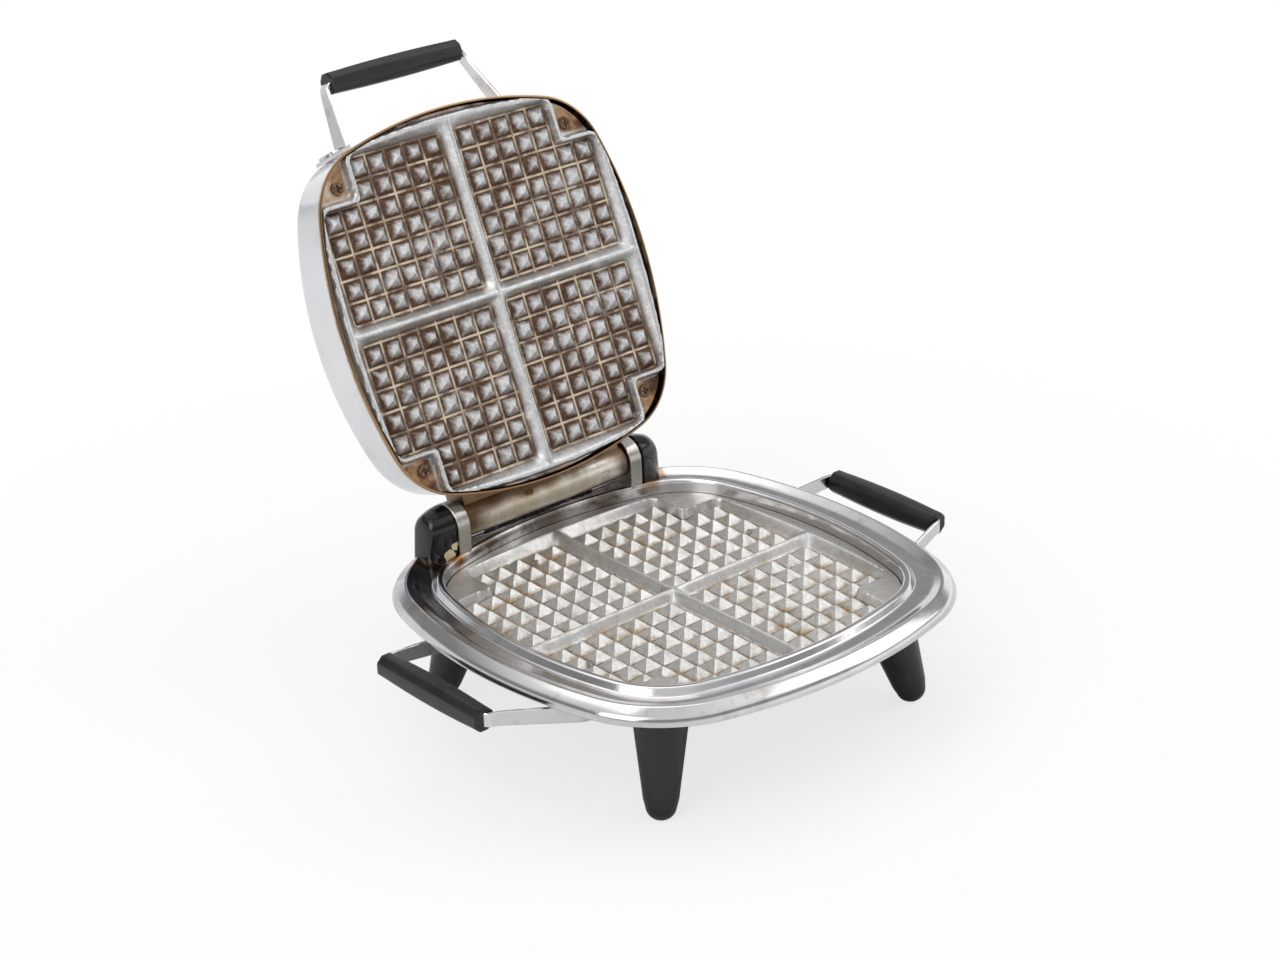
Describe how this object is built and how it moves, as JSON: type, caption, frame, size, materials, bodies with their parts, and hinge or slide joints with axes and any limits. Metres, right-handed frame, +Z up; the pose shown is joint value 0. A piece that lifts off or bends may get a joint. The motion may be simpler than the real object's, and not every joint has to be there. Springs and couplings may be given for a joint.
{
  "type": "electric waffle iron",
  "caption": "Low electric waffle iron on splayed legs: bulged-square tray, hinged domed lid, cast waffle grids, side and lid handles, rear plug inlet.",
  "frame": {"origin": "table level, midway between the two side handles and midway along the whole depth with the lid open", "axes": "+Z up, -Y towards the user (the side away from the hinge), X along the hinge axis with +X at the user's right"},
  "size_m": [0.2594, 0.2849, 0.243],
  "materials": {
    "polished_chrome": "polished plating",
    "pan_steel": "plain sheet",
    "cast_aluminium": "as cast, worn",
    "screw_steel": "plated",
    "black_bakelite": "satin moulded phenolic",
    "glossy_bakelite": "glossy moulded phenolic",
    "braided_sleeve": "charred glass braid",
    "element_steel": "oxidised",
    "ceramic": "unglazed ceramic",
    "pin_brass": "plated",
    "barrel_steel": "brushed, heat stained"
  },
  "bodies": {
    "base": {"base_tray": "polished_chrome", "base_pan": "pan_steel", "lower_grid": "cast_aluminium", "lower_grid_screws": "screw_steel", "leg_front_left": "black_bakelite", "leg_front_right": "black_bakelite", "leg_back_left": "black_bakelite", "leg_back_right": "black_bakelite", "leg_screws": "screw_steel", "left_handle_strap": "polished_chrome", "right_handle_strap": "polished_chrome", "left_handle_grip": "black_bakelite", "right_handle_grip": "black_bakelite", "side_handle_rivets": "screw_steel", "hinge_bracket_left": "polished_chrome", "hinge_bracket_right": "polished_chrome", "hinge_cap_left": "glossy_bakelite", "hinge_cap_right": "glossy_bakelite", "hinge_pin": "screw_steel", "cross_rod": "screw_steel", "lead_sleeve": "braided_sleeve", "lower_element": "element_steel", "lower_insulators": "ceramic", "lower_reflector": "pan_steel", "inlet_block": "glossy_bakelite", "inlet_pins": "pin_brass", "inlet_screws": "screw_steel"},
    "lid": {"lid_shell": "polished_chrome", "upper_grid": "cast_aluminium", "upper_grid_screws": "screw_steel", "upper_grid_posts": "screw_steel", "lid_handle_strap": "polished_chrome", "lid_handle_grip": "black_bakelite", "lid_handle_rivets": "screw_steel", "hinge_barrel": "barrel_steel", "hinge_saddle": "barrel_steel", "upper_element": "element_steel", "upper_insulators": "ceramic", "upper_reflector": "pan_steel"}
  },
  "joints": [
    {"name": "lid_hinge", "type": "hinge", "parent": "base", "child": "lid", "pos_m": [0, 0.0487, 0.0671], "axis": [-1, 0, 0], "range_deg": [-113.4, 0]}
  ]
}
